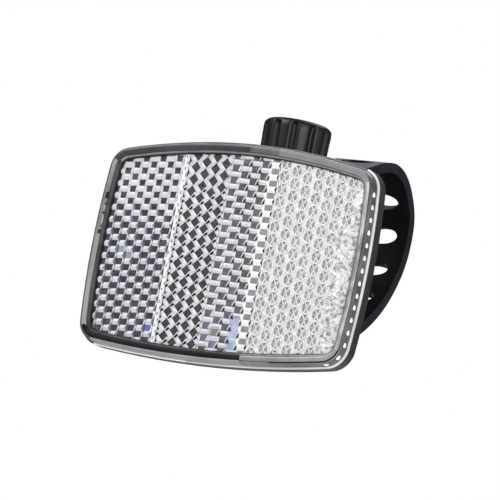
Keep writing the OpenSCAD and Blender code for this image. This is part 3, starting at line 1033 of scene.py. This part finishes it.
# ------------------------------------------------------------------ CAD pieces with softened edges
def node_object(name):
    for o in bpy.data.objects:
        if o.name == name or o.get("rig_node") == name:
            return o
    raise KeyError(name)


def soften(node, body, slot, key, width=0.3, segments=2, deg=32.0):
    src = node_object(node)
    me = src.data.copy()
    ob = bpy.data.objects.new(node + "_finished", me)
    bpy.context.scene.collection.objects.link(ob)
    ob.matrix_world = src.matrix_world.copy()
    bm = bmesh.new()
    bm.from_mesh(me)
    bmesh.ops.remove_doubles(bm, verts=bm.verts, dist=2e-6)
    bmesh.ops.dissolve_limit(bm, angle_limit=math.radians(0.6), verts=bm.verts, edges=bm.edges)
    bm.to_mesh(me)
    bm.free()
    me.materials.clear()
    me.materials.append(M[key])
    for p in me.polygons:
        p.material_index = 0
    bv = ob.modifiers.new("bevel", "BEVEL")
    bv.width = width * MM
    bv.segments = segments
    bv.limit_method = "ANGLE"
    bv.angle_limit = math.radians(deg)
    bv.harden_normals = False
    bv.use_clamp_overlap = True
    dg = bpy.context.evaluated_depsgraph_get()
    new = bpy.data.meshes.new_from_object(ob.evaluated_get(dg))
    ob.modifiers.clear()
    ob.data = new
    sharpen(ob, 38)
    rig.ride(ob, body)
    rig.slot(ob, slot)
    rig.replaces(ob, node)
    return ob


soften("bracket_body", "bracket", "black_bracket", "bracket", 0.45, 3)
soften("saddle_pad", "bracket", "pad_rubber", "pad", 0.25, 2)
st = soften("strap", "bracket", "strap_rubber", "strap", 0.35, 3)
# painted sheen: side faces, picked by their normals, take a paler blue-black, a lit copy of the strap's black
st.data.materials.append(M["strap_edge"])
for p in st.data.polygons:
    if p.normal.x > 0.35 or (p.normal.x < -0.35 and p.normal.z < 0.2):
        p.material_index = 1
soften("strap_pin", "bracket", "plated_steel", "steel", 0.3, 2)
soften("knob_screw", "knob", "plated_steel", "steel", 0.2, 2)
soften("knob_washer", "washer", "plated_steel", "steel", 0.12, 2)
soften("thread_insert", "bracket", "insert_brass", "brass", 0.12, 2)
soften("mounting_screw", "bracket", "plated_steel", "steel", 0.2, 2)
soften("mounting_washer", "bracket", "plated_steel", "steel", 0.12, 2)
soften("mounting_nut", "bracket", "plated_steel", "steel", 0.25, 2)

# ------------------------------------------------------------------ knob: fluted grip under a plain chamfered rim
KY, KZ, KR, KH, LOBES = 26.2, 33.6, 9.7, 10.2, 11
kn = Shape("knob_grip")
NT = LOBES * 22
zs = [0.0, 0.05, 0.15, 0.3, 0.5] + [0.5 + (KH - 1.8) * k / 10 for k in range(1, 11)] + \
     [KH - 1.15, KH - 1.0, KH - 0.85, KH - 0.7, KH - 0.55, KH - 0.42, KH - 0.3, KH - 0.18, KH - 0.07, KH]
ROUND = 1.9


def groove(k):
    u = (k % 22) / 22.0
    d = min(u, 1 - u)                            # 0 in the groove, 0.5 on the lobe
    c = max(0.0, 1 - d / 0.27)
    return 0.92 * c * c * (3 - 2 * c) + 0.10 * (1 - math.cos(max(0.0, 0.5 - d) * math.pi))


rows = []
for z in zs:
    base = KR - 0.30 * (1 - z / KH)
    edge = 0.35 * max(0.0, 1 - z / 0.5) ** 2
    over = max(0.0, z - (KH - ROUND))
    edge += 0.9 * ROUND - 0.9 * math.sqrt(max(0.0, ROUND * ROUND - over * over))
    fade = min(1.0, max(0.0, (KH - 0.75 - z) / 0.8))
    fade = fade * fade * (3 - 2 * fade)
    rows.append([((base - edge - groove(k) * fade) * math.cos(2 * math.pi * k / NT), KY + (base - edge - groove(k) * fade) * math.sin(2 * math.pi * k / NT),
                  KZ + z) for k in range(NT)])
for zt, rt in ((KH, KR - 2.3), (KH, KR - 3.4), (KH - 0.1, KR - 3.7),
               (KH - 0.4, KR - 3.9), (KH - 0.5, KR - 4.2), (KH - 0.5, 1.5)):
    rows.append([(rt * math.cos(2 * math.pi * k / NT), KY + rt * math.sin(2 * math.pi * k / NT), KZ + zt) for k in range(NT)])
pts = [p for r in rows for p in r]
faces = [(j * NT + i, j * NT + (i + 1) % NT, (j + 1) * NT + (i + 1) % NT, (j + 1) * NT + i)
         for j in range(len(rows) - 1) for i in range(NT)]
faces.append(tuple((len(rows) - 1) * NT + i for i in range(NT)))
kn.add(pts, faces, "knob")
# underside ring round the screw's hexagon
inner = [(4.02 * math.cos(2 * math.pi * k / NT), KY + 4.02 * math.sin(2 * math.pi * k / NT), KZ) for k in range(NT)]
kn.add(rows[0] + inner, [(i, NT + i, NT + (i + 1) % NT, (i + 1) % NT) for i in range(NT)], "knob")
ko = kn.build()
sharpen(ko, 60)
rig.ride(ko, "knob")
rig.slot(ko, "black_knob")
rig.replaces(ko, "knob")

with open("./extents.json", "w") as f:
    json.dump({"cad": cad_box, "visual": flat(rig.bounds())}, f)
